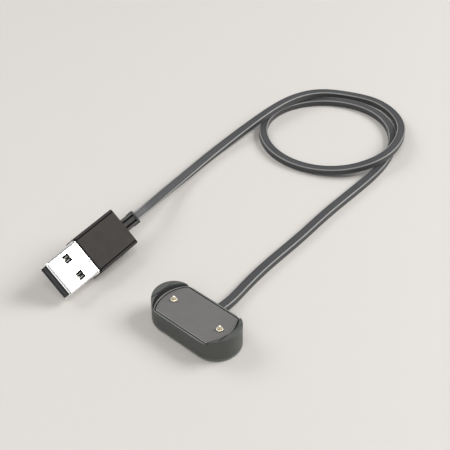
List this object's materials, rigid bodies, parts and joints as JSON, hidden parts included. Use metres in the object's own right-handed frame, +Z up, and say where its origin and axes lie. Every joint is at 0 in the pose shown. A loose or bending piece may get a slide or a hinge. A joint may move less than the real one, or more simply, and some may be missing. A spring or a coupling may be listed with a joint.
{
  "type": "fitness tracker charging cable",
  "caption": "USB-A charging cable for a fitness tracker: a stadium-shaped magnetic dock with sprung contact pins, a looped flat cable and a USB plug.",
  "frame": {"origin": "centre of the charging dock's flat underside, which lies on the table", "axes": "+X along the dock's long axis, +Y out of the dock's cable exit, +Z up out of the charging face"},
  "size_m": [0.0758, 0.1551, 0.0134],
  "materials": {
    "dock_plastic": "satin dark grey moulded plastic",
    "face_plastic": "fine-grained mid grey plastic",
    "plug_plastic": "matte dark grey overmould",
    "cable_jacket": "smooth dark grey jacket with a soft sheen",
    "insulator": "matte black",
    "board_laminate": "green solder mask",
    "usb_steel": "bright nickel plate",
    "magnet_metal": "nickel-plated magnet",
    "spring_steel": "drawn wire",
    "contact_gold": "gold-plated brass",
    "lead_red": "wire insulation",
    "lead_black": "wire insulation"
  },
  "bodies": {
    "cable_assembly": {"dock_housing": "dock_plastic", "dock_face_plate": "face_plastic", "dock_base_cover": "dock_plastic", "circuit_board": "board_laminate", "board_fuse": "insulator", "magnet_left": "magnet_metal", "magnet_right": "magnet_metal", "pogo_barrel_left": "contact_gold", "pogo_barrel_right": "contact_gold", "pogo_spring_left": "spring_steel", "pogo_spring_right": "spring_steel", "dock_cable_gland": "cable_jacket", "dock_lead_positive": "lead_red", "dock_lead_negative": "lead_black", "charging_cable": "cable_jacket", "plug_strain_relief": "cable_jacket", "plug_overmould": "plug_plastic", "plug_inner_mould": "insulator", "plug_cable_clamp": "usb_steel", "plug_lead_positive": "lead_red", "plug_lead_negative": "lead_black", "usb_shell": "usb_steel", "usb_tongue": "insulator", "usb_contact_1": "contact_gold", "usb_contact_2": "contact_gold", "usb_contact_3": "contact_gold", "usb_contact_4": "contact_gold"},
    "plunger_left": {"pogo_plunger_left": "contact_gold"},
    "plunger_right": {"pogo_plunger_right": "contact_gold"}
  },
  "joints": [
    {"name": "plunger_left_press", "type": "slide", "parent": "cable_assembly", "child": "plunger_left", "axis": [0, 0, -1], "range_m": [0, 0.0009], "stiffness_N_per_m": 600, "springref_m": -0.0006, "deforming": ["pogo_spring_left"]},
    {"name": "plunger_right_press", "type": "slide", "parent": "cable_assembly", "child": "plunger_right", "axis": [0, 0, -1], "range_m": [0, 0.0009], "stiffness_N_per_m": 600, "springref_m": -0.0006, "deforming": ["pogo_spring_right"]}
  ]
}
